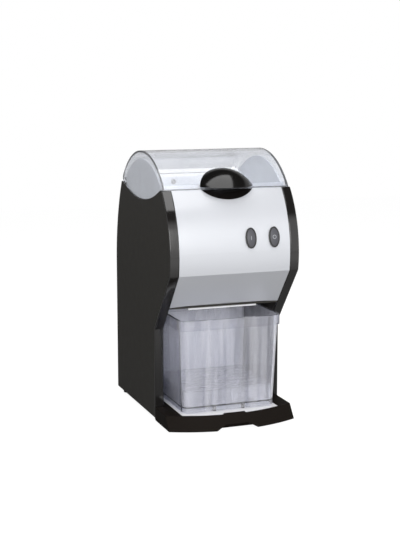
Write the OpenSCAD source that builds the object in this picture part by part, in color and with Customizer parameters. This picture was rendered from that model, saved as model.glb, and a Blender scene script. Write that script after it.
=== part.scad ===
// Bar-top ice crusher: side-hinged casing with a cylindrical clear lid over a hopper,
// a toothed rotor turning through a fixed comb, and a clear bin on a drip tray below.
// Frame: +Z up, front towards -Y, origin on the ground under the middle of the outline.

/* [Overall] */
// Width over the two side casings
body_w = 220; // [210:1:232]
// Depth from the front of the drip tray to the rear cover
body_d = 310.5; // [306:0.5:320]
// Height of the body's underside above the ground
foot_h = 8; // [7:0.5:9]
// Height of the seam between body and lid
seam_z = 387; // [385:0.5:389]

/* [Body profile] */
// Distance from the rear face to the axis of the curved front
front_axis_back = 132; // [130:0.5:134]
// Depth of the curved front's axis below the seam
front_axis_drop = 106; // [104:0.5:108]
// Radius of the curved front
front_r = 165.5; // [163:0.5:168]
// Distance from the rear face to the upright lower front
waist_back = 217.3; // [215:0.1:219]
// Depth of the waist, where the front leans out, below the seam
waist_drop = 229.7; // [227:0.1:233]
// Angle of the leaning front from upright
slant_angle = 38.6; // [36:0.1:40]
// Radius of the curved back
back_r = 300; // [285:1:320]
// Depth below the seam at which the back starts to curve
back_curve_drop = 147; // [142:1:152]

/* [Casing] */
// Wall of the moulded side casings
casing_wall = 3; // [2:0.5:4]
// Width of each glossy front trim
trim_w = 15.5; // [15:0.5:17]
// Thickness of the front trim
trim_t = 4; // [3:0.5:5]
// Thickness of the inner side plates
chassis_t = 3; // [2.5:0.5:3.5]
// Thickness of the sheet covers
cover_t = 2.5; // [2:0.5:3]
// Step from the trim face back to the front panel
panel_step = 0.6; // [0.4:0.1:1.2]
// Rise of the arch in the panel's lower edge
panel_arch = 3; // [1:0.5:5]
// Depth of the front panel's lower edge below the seam
panel_drop = 189.5; // [187:0.5:191]
// Depth of the panel's side returns
panel_return = 10; // [6:1:14]

/* [Rear cover] */
// Rows of cooling slots
vent_rows = 7; // [4:1:9]
// Length of a cooling slot
vent_l = 60; // [40:1:70]
// Height of a cooling slot
vent_h = 4; // [3:0.5:5]
// Bore of the cord gland
gland_bore = 8; // [7:0.5:9]

/* [Lid] */
// Forward offset of the lid's axis from the front's axis
lid_axis_fwd = 13; // [12:0.5:14]
// Rise of the lid's axis above the front's axis
lid_axis_up = 19; // [18:0.5:20]
// Wall of the clear lid
lid_wall = 3; // [2.5:0.5:3.5]
// Inset of the lid's ends from the side casings
lid_inset = 2.7; // [2:0.1:3.2]
// Radius of the lid's dished lower edge
cradle_r = 260; // [250:1:275]
// Depth of the dished edge below the seam
cradle_drop = 23.5; // [22:0.5:25]
// Outer radius of the hinge roll
hinge_r = 8; // [7.5:0.5:8.5]
// Radius of the hinge pins
hinge_pin_r = 3; // [2.5:0.5:3.5]
// Height of the band along the lid's front edge
lid_band = 7.5; // [5:0.5:10]

/* [Handle] */
// Half width of the handle's base
handle_half = 45; // [42:1:48]
// Height of the handle over the lid's surface
handle_rise = 33; // [30:1:37]
// Bulge of the handle beyond the lid
handle_bulge = 24; // [20:1:26]
// Wall of the handle
handle_t = 3; // [2:0.5:4]
// Half width of the finger scoop below it
scoop_half = 35.5; // [33:0.5:38]
// Drop of the finger scoop down the panel
scoop_drop = 16; // [14:0.5:18]
// Radius of the scoop's dish
scoop_r = 160; // [150:5:200]
// Wall of the scoop
scoop_t = 2.5; // [2:0.5:3]

/* [Hopper] */
// Radius of the grey cheeks that stand up inside the lid
cheek_r = 136; // [130:0.5:137]
// Sheet of the hopper
hopper_t = 3; // [2:0.5:3.5]

/* [Buttons] */
// Height of the buttons' middle, as an angle up the curved front
button_angle = 10.5; // [9:0.5:12]
// Width of a button's bezel
bezel_w = 18.5; // [17:0.5:20]
// Height of a button's bezel
bezel_h = 33.5; // [31:0.5:36]
// Distance of the outer button from the right side plate
button_side = 28; // [25:0.5:31]
// Distance between the two buttons
button_gap = 40; // [36:0.5:44]
// Width of the bezel's ring round the button
button_ring = 2.3; // [1.6:0.1:2.6]
// Radius of the button's crowned face
crown_r = 80; // [60:5:200]
// Travel of a button
button_travel = 2.5; // [1.5:0.5:3]

/* [Niche] */
// Distance from the rear face to the niche's back plate
niche_back = 110.5; // [109:0.5:112]
// Inset of the discharge chute's mouth from the crushing chamber
chute_inset = 8; // [6:1:12]

/* [Ice container] */
// Gap between the rim and the niche's side
bin_side_gap = 6; // [4:0.5:9]
// Depth over the rim
bin_d = 162; // [156:1:164]
// Gap between the container's rim and the discharge chute
bin_gap = 9.9; // [9:0.1:16]
// Narrowing of each wall from the rim to the base
bin_draft = 6; // [4:0.5:8]
// Wall of the container
bin_wall = 2.5; // [2:0.5:3]
// Radius of the upright corners
bin_corner = 13; // [10:1:16]
// Height of the rim band
rim_h = 16; // [12:1:20]
// Height of the floor above the container's lower edge
bin_floor = 6.2; // [5:0.2:8]
// Height of the drain grid's top above the container's floor
grid_h = 26; // [20:1:32]
// Wall of the drain grid's skirt
grid_t = 1.8; // [1.5:0.1:2.5]
// Length of a slot in the drain grid
grid_slot_l = 14; // [10:1:16]
// Width of a slot in the drain grid
grid_slot_w = 4; // [3:0.5:5]

/* [Drip tray] */
// Height of the tray's underside
tray_z = 4; // [3:0.5:5]
// Height of the drip plate's top
plate_z = 26; // [25:0.5:27]
// Set-back of the tray's front corners from its bowed middle
tray_bow = 25.8; // [20:0.5:30]
// Lean of the tray's front face
tray_lean = 15.5; // [10:0.5:18]
// Width of the tray's flat side margins
tray_margin = 26; // [22:1:30]
// Rise of the pull lip in the middle
lip_h = 2.4; // [1:0.2:2.6]
// Half width of the finger notch under the lip
notch_half = 35; // [28:1:40]
// Height of the finger notch
notch_h = 8.5; // [6:0.5:9]
// Length of a slot in the drip plate
drip_slot_l = 9; // [7:0.5:11]
// Width of a slot in the drip plate
drip_slot_w = 3; // [2:0.5:4]

/* [Crusher] */
// Forward offset of the rotor from the front's axis
rotor_fwd = 65.5; // [64:0.5:67]
// Rise of the rotor above the front's axis
rotor_up = 9; // [7:0.5:11]
// Radius of the rotor's teeth
tooth_r = 42; // [40:0.5:43]
// Radius of the drum between the toothed discs
drum_r = 18; // [17:0.5:20]
// Number of toothed discs
disc_n = 7; // [5:1:7]
// Thickness of a toothed disc
disc_t = 4; // [3:0.5:5]
// Teeth on each disc
tooth_n = 3; // [2:1:4]
// Thickness of a comb finger
finger_t = 5; // [4:0.5:6]
// Distance from the side plates to the crushing chamber
chamber_side = 28.5; // [27:0.5:30]
// Radius of the rotor's shaft
rotor_shaft_r = 7; // [6:0.5:8]

/* [Drive] */
// Pitch radius of the rotor's pulley
big_pulley_r = 45; // [40:1:48]
// Pitch radius of the motor's pulley
small_pulley_r = 15; // [13:1:18]
// Width of the belt
belt_w = 5; // [4:0.5:5.5]
// Thickness of the belt
belt_t = 3; // [2:0.5:3.5]
// Radius of the motor's housing
motor_r = 48; // [44:1:49]
// Distance from the right side plate to the motor's bracket
motor_side = 44.5; // [42:0.5:48]
// Room between the motor's housing and the left side plate, for its fan
fan_room = 36.5; // [34:0.5:48]
// Radius of the motor's shaft
motor_shaft_r = 6; // [5:0.5:7]
// Height of the motor's axis
motor_z = 86; // [80:1:92]

/* [Electrics] */
// Length of the control board
board_l = 76; // [66:1:76]
// Height of the control board
board_h = 60; // [54:1:66]
// Height of the board's standoffs
standoff_h = 8; // [6:1:9]
// Radius of the motor's capacitor
cap_r = 18; // [15:1:19]
// Height of the motor's capacitor
cap_h = 62; // [50:1:70]
// Length of the terminal block
block_l = 42; // [36:1:46]
// Width of the terminal block
block_w = 16; // [14:1:18]
// Height of the terminal block
block_h = 18; // [15:1:20]

/* [Hidden] */
$fn = 96;

// Colours
gloss_black = [0.06, 0.06, 0.07];
grained_black = [0.16, 0.16, 0.17];
silver = [0.86, 0.87, 0.89];
steel = [0.68, 0.69, 0.71];
zinc = [0.60, 0.61, 0.63];
clear = [0.85, 0.88, 0.95, 0.35];
pale_grey = [0.78, 0.79, 0.80];
rubber_black = [0.05, 0.05, 0.05];
button_grey = [0.30, 0.30, 0.33];
board_green = [0.10, 0.35, 0.18];
nylon_white = [0.90, 0.90, 0.88];

// Clearances
seat = 0.3;      // between two pieces that rest on each other
slack = 0.8;     // round a piece that slides or swings by hand
running = 0.05;  // between a shaft and its bearing, on the radius
press = 0.02;    // between a shaft and a piece fixed on it
hole_play = 0.2; // round a screw that passes through a sheet, on the radius
over = 1;        // by which a cut runs past the face that it opens
far = 600;       // longer than the whole machine

// Planes across the machine
half_w = body_w / 2;
trim_x = half_w - trim_w;
pod_x = trim_x + chassis_t;
wall_x = half_w - casing_wall;
cover_x = trim_x - seat;
cap_out = half_w - lid_inset;
cap_in = cap_out - lid_wall;

// Points of the side profile, as [y, z]
back_y = body_d / 2;
front_y = -body_d / 2;
base_t = 3;
base_top = foot_h + base_t;
front_axis = [back_y - front_axis_back, seam_z - front_axis_drop];
waist = [back_y - waist_back, seam_z - waist_drop];
back_curve_z = seam_z - back_curve_drop;
panel_z = seam_z - panel_drop;
slant_dir = [-sin(slant_angle), cos(slant_angle)];
slant_in = [cos(slant_angle), sin(slant_angle)];
function along(p, dir, c, r) = let (d = p - c, b = d * dir) -b + sqrt(b * b - d * d + r * r);
function waist_at(i) = waist + slant_in * i + slant_dir * ((i - slant_in.x * i) / slant_dir.x);
function brow_at(i) =
    let (p = waist + slant_in * i)
    p + slant_dir * along(p, slant_dir, front_axis, front_r - i);
function front_top(i) = front_axis.x - sqrt(pow(front_r - i, 2) - pow(seam_z - front_axis.y, 2));
function polar(r, a) = [r * cos(a), r * sin(a)];
function arc_points(c, r, a0, a1, n) = [for (k = [0:n]) c + polar(r, a0 + (a1 - a0) * k / n)];

// Lid axis, dished edge and hinge
lid_axis = front_axis + [-lid_axis_fwd, lid_axis_up];
lid_r = norm([front_top(0), seam_z] - lid_axis);
cradle_back = 5;     // from the lid's axis to the lowest point of the dish
cradle_axis = [lid_axis.x + cradle_back, seam_z - cradle_drop + cradle_r];
function meet(a, ra, b, rb) =
    let (v = b - a, d = norm(v), t = (ra * ra - rb * rb + d * d) / (2 * d), h = sqrt(ra * ra - t * t))
    a + v * t / d + [v.y, -v.x] * h / d;
hinge_axis = meet(lid_axis, lid_r - hinge_r, cradle_axis, cradle_r - hinge_r);
cradle_gap = 0.5;    // between the lid's end and the dished edge
ear_gap = 4.5;       // beside the ear, where the lid's shell is cut away
knuckle_gap = 0.6;   // between the ear and the lid's knuckle
roll_gap = 1.5;      // between the hinge roll and the rear cover
roll_x = trim_x - ear_gap;
knuckle_in = pod_x + knuckle_gap;
lid_foot_z = seam_z + seat;
cover_top_z = hinge_axis.y - hinge_r - roll_gap;

// Niche and deck
niche_y = back_y - niche_back;
niche_t = 2;
ceiling_t = 2.5;
deck_t = 3;
deck_z = panel_z;
deck_top = deck_z + deck_t;
deck_back = back_y - 30;
ceiling_z = deck_z - seat - ceiling_t;
chute_drop = 4.5;    // of the chute's mouth below the niche's ceiling
chute_bottom = ceiling_z - chute_drop;

// Screws that hold sheets and plates
screw_r = 2;
screw_head_r = 4;
screw_head_h = 2.2;

// Crusher
rotor_axis = front_axis + [-rotor_fwd, rotor_up];
chamber_half = trim_x - chamber_side;
chute_half = chamber_half - chute_inset;
plate_t = 5;
tooth_gap = 4;       // between the teeth and the chamber's wall
chamber_r = tooth_r + tooth_gap;
bar_t = 4;
shroud_t = 2.5;
plate_front = rotor_axis.x - chamber_r - 12;
plate_back = rotor_axis.x + chamber_r + bar_t + 6;
plate_top = rotor_axis.y + 38;
plate_corner = 12;
plate_foot = 14;
plate_foot_t = 3;
chute_depth = 2 * (chamber_r - 4);
chute_wall = 1.5;
chute_fit = 1;
end_disc = 12;       // from the chamber's side to the middle of the outer disc
disc_pitch = 2 * (chamber_half - end_disc) / (disc_n - 1);
bearing_r = 16;
bearing_flange_r = 25;
bearing_flange_t = 4;
throat_half = chamber_half - hopper_t - 0.5;
throat_y = chamber_r - seat;
throat_low = rotor_axis.y + 24;
throat_z = rotor_axis.y + 55;

// Drive
motor_axis = [back_y - 56.5, motor_z];
motor_x = trim_x - motor_side;
motor_l = motor_x + trim_x - fan_room;
pulley_w = belt_w + 2;
pulley_x = (pod_x + wall_x) / 2;
flange_h = 2;
flange_t = 1;
bracket_t = 4;

// Container
bin_w = 2 * (trim_x - bin_side_gap);
bin_foot_h = 2;
bin_z = plate_z + seat + bin_foot_h;
bin_back = niche_y - 10;
bin_front = bin_back - bin_d;
bin_mid = (bin_back + bin_front) / 2;
bin_top = chute_bottom - bin_gap;
bin_h = bin_top - bin_z;
rim_step = 2.5;      // of the rim band out from the walls

// Drip tray
tray_half = half_w - 0.4;
tray_back = waist.x - 0.5;
bow_r = (tray_half * tray_half + tray_bow * tray_bow) / (2 * tray_bow);
bow_axis_y = front_y + sqrt(bow_r * bow_r - notch_half * notch_half);
tongue_half = trim_x - slack;
tongue_back = niche_y - 2;
tongue_z = base_top + seat;
well_floor_z = tongue_z + 3;
drip_plate_t = 1.5;

// ---------- shared shapes ----------

// Extrudes a [y, z] outline across the machine from x0 to x1
module slab(x0, x1) translate([x0, 0, 0]) rotate([90, 0, 90]) linear_extrude(x1 - x0) children();

// Turns a right-hand piece into the piece of the given side
module on_side(side) mirror([side < 0 ? 1 : 0, 0, 0]) children();

// Disc or ring in a [y, z] outline
module disc_at(p, r) translate(p) circle(r);

// Cylinder across the machine at a [y, z] point
module rod(p, r, x0, x1) slab(x0, x1) disc_at(p, r);

// Stands a piece on the curved front: local Z points out of it, local Y up it
module at_front(x, angle) translate([x, front_axis.x, front_axis.y]) rotate([90 - angle, 0, 0]) children();

// Upright bore at an [x, y] point
module drill(p, r) translate([p.x, p.y, 0]) cylinder(r = r, h = far);

// Six-sided nut on a rod that runs across the machine
module nut(p, r, h) translate(p) rotate([0, 90, 0]) cylinder(r = r, h = h, $fn = 6);

// Points [x, y] mirrored to both sides of the machine
function side_spots(x, ys) = [for (s = [-1, 1], y = ys) [s * x, y]];

module oval(w, h) scale([w / h, 1]) circle(d = h);

module rounded(w, d, r) {
    square([w - 2 * r, d], center = true);
    square([w, d - 2 * r], center = true);
    for (sx = [-1, 1], sy = [-1, 1]) translate([sx * (w / 2 - r), sy * (d / 2 - r)]) circle(r);
}

// Everything behind the front face, set in by i
module front_region(i) {
    brow = brow_at(i);
    low = waist_at(i);
    intersection() {
        union() {
            disc_at(front_axis, front_r - i);
            translate([front_axis.x, -far]) square([far, 2 * far]);
            translate([-far, -far]) square([2 * far, far + (low.y + brow.y) / 2]);
        }
        polygon([[low.x, -far], low, low + slant_dir * far, [far, far], [far, -far]]);
    }
}

// Everything in front of the rear face, set in by i
module back_region(i) {
    translate([-far, -far]) square([far + back_y - i, far + back_curve_z]);
    intersection() {
        disc_at([back_y - back_r, back_curve_z], back_r - i);
        translate([-far, back_curve_z]) square([2 * far, far]);
    }
}

module band(z0, z1) translate([-far, z0]) square([2 * far, z1 - z0]);

// Sheet of thickness t along the front face, set in by i, between two heights
module front_skin(i, t, z0, z1) intersection() {
    difference() {
        front_region(i);
        front_region(i + t);
    }
    band(z0, z1);
}

// Side outline of the body below the lid, set in by i behind a front that is set in by front_i
module side_outline(front_i, i, z0) {
    difference() {
        intersection() {
            front_region(front_i);
            back_region(i);
            band(z0, seam_z - i);
        }
        disc_at(cradle_axis, cradle_r + i);
    }
}

// Closed outline of a lid end
module cap_outline() {
    past_hinge = 8 * hinge_r;
    on_lid = hinge_axis + (hinge_axis - lid_axis) * hinge_r / norm(hinge_axis - lid_axis);
    on_dish = hinge_axis + (hinge_axis - cradle_axis) * hinge_r / norm(hinge_axis - cradle_axis);
    difference() {
        intersection() {
            disc_at(lid_axis, lid_r);
            union() {
                disc_at(cradle_axis, cradle_r - cradle_gap);
                band(lid_foot_z, far);
            }
        }
        polygon([hinge_axis, on_lid, on_lid + [past_hinge, 0],
            hinge_axis + [past_hinge, -past_hinge], on_dish]);
    }
    disc_at(hinge_axis, hinge_r - cradle_gap / 2);
}

// ---------- base and chassis ----------

foot_r = 11;
foot_stem_r = 3;
foot_inset = [0.5, 17, 18];
foot_spots = side_spots(trim_x - foot_inset[0], [waist.x + foot_inset[1], back_y - foot_inset[2]]);
lug_w = 12;
lug_x = trim_x - lug_w / 2;
base_lug_h = 10;
blind_end = 2;       // of a lug left past its screw hole
cover_screw_z = [30, 150, 225];
base_screw_inset = [16, 45];
base_screw_y = [niche_y + base_screw_inset[0], back_y - base_screw_inset[1]];
deck_screw_reach = [-20, 70];
deck_screw_y = [for (y = deck_screw_reach) rotor_axis.x + y];
base_screw_l = 10;
cover_screw_l = 12;
deck_screw_l = 14;
base_slot = [6, 50];
base_slot_pitch = 14;
base_slot_n = floor((motor_l - 2 * base_slot.x) / base_slot_pitch);
ear_r = hinge_r - 1;
ear_h = 20;
shaft_room = 6;      // round a shaft that passes through the side plate

module base_plate() color(zinc) difference() {
    front = waist.x + trim_t + seat;
    translate([-wall_x + seat, front, foot_h])
        cube([2 * (wall_x - seat), back_y - cover_t - seat - front, base_t]);
    for (p = foot_spots) drill(p, foot_stem_r + press);
    for (p = side_spots(lug_x, base_screw_y)) drill(p, screw_r + press);
    for (p = bracket_screws) drill(p, motor_screw_r + press);
    // slots through which the fan draws its air
    for (k = [0:base_slot_n])
        translate([motor_x - motor_l + base_slot.x + k * base_slot_pitch, motor_axis.x - base_slot.y / 2, 0])
            cube([base_slot.x, base_slot.y, far]);
}

module rubber_feet() color(rubber_black) for (p = foot_spots) translate(p) {
    cylinder(r1 = foot_r - 1, r2 = foot_r, h = foot_h);
    cylinder(r = foot_stem_r, h = base_top);
}

module base_screws() color(steel) for (p = side_spots(lug_x, base_screw_y)) translate([p.x, p.y, foot_h]) {
    translate([0, 0, -screw_head_h]) cylinder(r = screw_head_r, h = screw_head_h);
    translate([0, 0, -over]) cylinder(r = screw_r, h = base_screw_l + over);
}

// Block on the side plate that takes a screw
module lug(y, z, h) translate([trim_x - lug_w, y, z]) cube([lug_w + over, lug_w, h]);

module chassis_side(side) color(grained_black) on_side(side) difference() {
    union() {
        slab(trim_x, pod_x) {
            side_outline(trim_t, 0, base_top);
            // ear that carries the hinge pin
            disc_at(hinge_axis, ear_r);
            translate(hinge_axis - [ear_r, ear_h]) square([2 * ear_r, ear_h]);
        }
        for (z = cover_screw_z) lug(back_y - cover_t - seat - lug_w, z - lug_w / 2, lug_w);
        for (y = base_screw_y) lug(y - lug_w / 2, base_top, base_lug_h);
        for (y = deck_screw_y) lug(y - lug_w / 2, deck_top, lug_w);
    }
    rod(hinge_axis, hinge_pin_r + press, 0, far);
    if (side > 0) {
        rod(rotor_axis, rotor_shaft_r + shaft_room, 0, far);
        rod(motor_axis, motor_shaft_r + shaft_room, 0, far);
    }
    for (z = cover_screw_z) translate([lug_x, back_y - cover_screw_l - blind_end, z])
        rotate([-90, 0, 0]) cylinder(r = screw_r + press, h = far);
    for (y = base_screw_y) translate([lug_x, y, 0])
        cylinder(r = screw_r + press, h = base_top + base_lug_h - blind_end);
    for (y = deck_screw_y) translate([lug_x, y, ceiling_z])
        cylinder(r = screw_r + press, h = deck_top + lug_w - blind_end - ceiling_z);
}

// Moulded shell, open towards the side plate and over the base plate's edge
module side_casing(side) color(grained_black) on_side(side) difference() {
    slab(pod_x, half_w) side_outline(trim_t, 0, foot_h);
    slab(pod_x - over, wall_x) {
        side_outline(trim_t + casing_wall, casing_wall, base_top + seat + casing_wall);
        band(0, base_top + seat);
    }
}

module front_trim(side) color(gloss_black) on_side(side)
    slab(trim_x, half_w) front_skin(0, trim_t, foot_h, seam_z);

// ---------- front ----------

panel_t = 2;
panel_top = seam_z - 0.4;
arch_r = (cover_x * cover_x + panel_arch * panel_arch) / (2 * panel_arch);
scoop_ring_r = (scoop_half * scoop_half + scoop_drop * scoop_drop) / (2 * scoop_drop);
seam_out = ([front_top(0), seam_z] - front_axis) / front_r;
seam_up = [seam_out.y, -seam_out.x];
scoop_centre = [front_top(0), seam_z] + seam_up * (scoop_ring_r - scoop_drop)
    + seam_out * sqrt(scoop_r * scoop_r - scoop_ring_r * scoop_ring_r);

module scoop_ball(r) translate([0, scoop_centre.x, scoop_centre.y]) sphere(r, $fn = 360);

module front_panel() color(silver) difference() {
    union() {
        slab(-cover_x, cover_x) front_skin(panel_step, panel_t, panel_z, panel_top);
        // returns at the two sides
        for (s = [-1, 1]) on_side(s)
            slab(cover_x - panel_t, cover_x) front_skin(panel_step, panel_return, panel_z, panel_top);
    }
    // arch in the lower edge
    translate([0, 0, panel_z + panel_arch - arch_r]) rotate([90, 0, 0])
        cylinder(r = arch_r, h = far, center = true);
    scoop_ball(scoop_r + scoop_t + seat);
    for (k = [0, 1]) at_button(k) translate([0, 0, front_r - bezel_neck - over])
        linear_extrude(far) oval(bezel_w - neck_step + seat, bezel_h - neck_step + seat);
}

module finger_scoop() color(gloss_black) intersection() {
    difference() {
        scoop_ball(scoop_r + scoop_t);
        scoop_ball(scoop_r);
    }
    slab(-far / 2, far / 2) intersection() {
        front_region(panel_step, $fn = 720);
        band(panel_z, panel_top);
    }
}

bezel_proud = 1.8;
bezel_neck = 8;      // depth of the neck that passes through the panel
neck_step = 0.8;
button_play = 0.6;
button_proud = 2.6;
button_base = front_r - 4;
stem_r = 3;
stem_l = 6;          // of the stem inside the switch
switch_size = [16, 24, 20];
switch_top = front_r - 12;
post_size = [8, 3];
pin_size = [1, 6, 7];
pin_z = switch_top - switch_size.z - pin_size.z + over;

module at_button(k) at_front(trim_x - button_side - (1 - k) * button_gap, button_angle) children();

module button_bezels() color(gloss_black) for (k = [0, 1]) at_button(k) difference() {
    union() {
        difference() {
            translate([0, 0, button_base]) linear_extrude(front_r + bezel_proud - button_base)
                oval(bezel_w, bezel_h);
            // seat on the curved panel
            rotate([0, 90, 0]) cylinder(r = front_r - panel_step + press, h = far, center = true, $fn = 360);
        }
        translate([0, 0, front_r - bezel_neck]) linear_extrude(bezel_neck)
            oval(bezel_w - neck_step, bezel_h - neck_step);
    }
    linear_extrude(far)
        oval(bezel_w - 2 * button_ring + button_play, bezel_h - 2 * button_ring + button_play);
}

module push_button(k) color(button_grey) at_button(k) {
    intersection() {
        translate([0, 0, button_base]) linear_extrude(front_r + button_proud - button_base)
            oval(bezel_w - 2 * button_ring, bezel_h - 2 * button_ring);
        // crowned face
        translate([0, 0, front_r + button_proud - crown_r]) rotate([90, 0, 0]) sphere(crown_r, $fn = 360);
    }
    translate([0, 0, switch_top - stem_l])
        cylinder(r = stem_r, h = button_base + over - switch_top + stem_l);
}

module switch_blocks() color(nylon_white) for (k = [0, 1]) at_button(k) difference() {
    union() {
        translate([-switch_size.x / 2, -switch_size.y / 2, switch_top - switch_size.z]) cube(switch_size);
        for (s = [-1, 1]) {
            // snap post that reaches the bezel
            translate([-post_size.x / 2, s * (switch_size.y - 2) / 2 - post_size.y / 2, switch_top - over])
                cube([post_size.x, post_size.y, front_r - bezel_neck - switch_top + over]);
            // terminal pin
            translate([s * switch_size.x / 4 - pin_size.x / 2, -pin_size.y / 2, pin_z]) cube(pin_size);
        }
    }
    translate([0, 0, switch_top - stem_l - button_travel - over]) cylinder(r = stem_r + slack / 2, h = far);
}

// ---------- rear ----------

vent_gap = 16;
vent_z = motor_z - (vent_rows - 0.5) * vent_h;
gland_x = 32.5 - trim_x;
gland_z = 40;
gland_r = 11;
gland_flange = 3;
gland_l = 14;
countersink = 2;
flush = 0.1;         // by which a countersunk head or the gland lies below the cover

module vent_slots() for (s = [-1, 1], k = [0:vent_rows - 1])
    translate([s * (vent_l + vent_gap) / 2 - vent_l / 2, basin_back, vent_z + 2 * k * vent_h])
        cube([vent_l, far, vent_h]);

module rear_cover() color(gloss_black) difference() {
    slab(-cover_x, cover_x) {
        difference() {
            intersection() {
                back_region(0);
                band(base_top + seat, cover_top_z);
                translate([front_axis.x, 0]) square([far, far]);
            }
            back_region(cover_t);
        }
        // lip that closes the top under the hinge roll
        intersection() {
            back_region(0);
            band(cover_top_z - cover_t, cover_top_z);
            translate([basin_back + seat, 0]) square([far, far]);
        }
    }
    vent_slots();
    translate([gland_x, 0, gland_z]) rotate([-90, 0, 0]) cylinder(r = gland_r + hole_play, h = far);
    for (s = [-1, 1], z = cover_screw_z) translate([s * lug_x, 0, z]) rotate([-90, 0, 0]) {
        cylinder(r = screw_r + hole_play, h = far);
        translate([0, 0, back_y - countersink - hole_play]) cylinder(
            r1 = screw_r + hole_play, r2 = screw_head_r + hole_play, h = countersink + hole_play + press);
    }
}

module rear_cover_screws() color(steel) for (s = [-1, 1], z = cover_screw_z)
    translate([s * lug_x, back_y - cover_screw_l, z]) rotate([-90, 0, 0]) {
        cylinder(r = screw_r, h = cover_screw_l - countersink);
        translate([0, 0, cover_screw_l - countersink - flush])
            cylinder(r1 = screw_r, r2 = screw_head_r, h = countersink);
    }

// Sleeve that holds the cord where it leaves the cover
module cord_gland() color(rubber_black)
    translate([gland_x, back_y, gland_z]) rotate([90, 0, 0]) difference() {
        union() {
            translate([0, 0, flush]) cylinder(r = gland_r, h = cover_t + over);
            translate([0, 0, cover_t + flush]) cylinder(r = gland_r + gland_flange, h = gland_flange + over);
            translate([0, 0, cover_t + over]) cylinder(r = gland_bore / 2 + gland_flange, h = gland_l);
        }
        cylinder(r = gland_bore / 2, h = far, center = true);
    }

// ---------- niche ----------

ceiling_front = waist.x - 30;
deck_front = waist.x - 26;
deck_x = cover_x - panel_t - seat;
chute_top_half = chamber_half - 1;
chute_neck_z = deck_top + 4;
chute_top_z = rotor_axis.y - chamber_r - 2;
chute_flange = 2;
skin = 0.1;          // thickness of a layer between which a hull is drawn

module niche_back_plate() color(pale_grey) translate([-cover_x, niche_y, base_top + seat])
    cube([2 * cover_x, niche_t, ceiling_z + ceiling_t - base_top - seat]);

// Straight block round the rotor's plumb line
module chute_block(half, depth, z0, z1) translate([0, rotor_axis.x, z0]) linear_extrude(z1 - z0)
    square([2 * half, depth], center = true);

module deck_openings() {
    chute_block(chute_half + chute_wall + chute_fit, chute_depth + 2 * chute_fit, 0, far);
    for (p = side_spots(lug_x, deck_screw_y)) drill(p, screw_r + hole_play);
}

module niche_ceiling() color(grained_black) difference() {
    translate([-cover_x, ceiling_front, ceiling_z])
        cube([2 * cover_x, niche_y - seat - ceiling_front, ceiling_t]);
    deck_openings();
}

module deck_plate() color(zinc) difference() {
    translate([-deck_x, deck_front, deck_z]) cube([2 * deck_x, deck_back - deck_front, deck_t]);
    deck_openings();
    for (p = side_spots(plate_screw_x, plate_screw_y)) drill(p, screw_r + press);
}

module deck_screws() color(steel) {
    for (p = side_spots(lug_x, deck_screw_y)) translate([p.x, p.y, ceiling_z - screw_head_h]) {
        cylinder(r = screw_head_r, h = screw_head_h);
        cylinder(r = screw_r, h = screw_head_h + deck_screw_l);
    }
    for (p = side_spots(plate_screw_x, plate_screw_y)) translate([p.x, p.y, deck_z]) {
        cylinder(r = screw_r, h = deck_t + plate_foot_t + over);
        translate([0, 0, deck_t + plate_foot_t]) cylinder(r = screw_head_r, h = screw_head_h);
    }
}

// Funnel that narrows from the crushing chamber to the mouth in the niche's ceiling
module discharge_chute() color(pale_grey) {
    inner_depth = chute_depth - 2 * chute_wall;
    difference() {
        union() {
            chute_block(chute_half + chute_wall, chute_depth, chute_bottom, chute_neck_z);
            hull() {
                chute_block(chute_half + chute_wall, chute_depth, chute_neck_z - skin, chute_neck_z);
                chute_block(chute_top_half, chute_depth, chute_top_z - skin, chute_top_z);
            }
            // flange that rests on the deck
            chute_block(chute_top_half, chute_depth + 2 * chute_flange, deck_top, deck_top + chute_flange);
        }
        hull() {
            chute_block(chute_half, inner_depth, chute_neck_z - skin, chute_neck_z);
            chute_block(chute_top_half - chute_wall, inner_depth, chute_top_z, chute_top_z + skin);
        }
        chute_block(chute_half, inner_depth, chute_bottom - over, chute_neck_z);
    }
}

// ---------- hopper ----------

cheek_axis = lid_axis + [1.5, -6];
cheek_out = cap_in - slack;
basin_x = trim_x - seat;
basin_front = front_top(0) + 15;
basin_back = hinge_axis.x - hinge_r - slack - 1;
basin_rim_z = seam_z + 5;
back_slope_z = seam_z - 12;
throat_front = rotor_axis.x - throat_y;
throat_back = rotor_axis.x + throat_y;
side_slope_z = throat_z + 20;
throat_trim = 0.5;

// Section of the hopper along the machine: a trough that slopes down to the throat
module basin_outline(i) polygon([
    [basin_front + i, basin_rim_z + i], [basin_front + i, side_slope_z + i / 2],
    [throat_front + i, throat_z + i / 2], [throat_front + i, throat_low - i],
    [throat_back - i, throat_low - i], [throat_back - i, throat_z + i / 2],
    [basin_back - i, back_slope_z + i], [basin_back - i, basin_rim_z + i]]);

module basin_sheet() difference() {
    basin_outline(0);
    basin_outline(hopper_t);
}

module basin_length() translate([basin_front, 0]) square([basin_back - basin_front, far]);

// Sloping floors at the two sides of the throat
module side_floor() translate([0, basin_back, 0]) rotate([90, 0, 0])
    linear_extrude(basin_back - basin_front) polygon([
        [throat_half, throat_low], [throat_half + hopper_t, throat_low],
        [throat_half + hopper_t, throat_z], [basin_x, side_slope_z],
        [basin_x, side_slope_z + hopper_t], [throat_half, throat_z + hopper_t]]);

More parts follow.
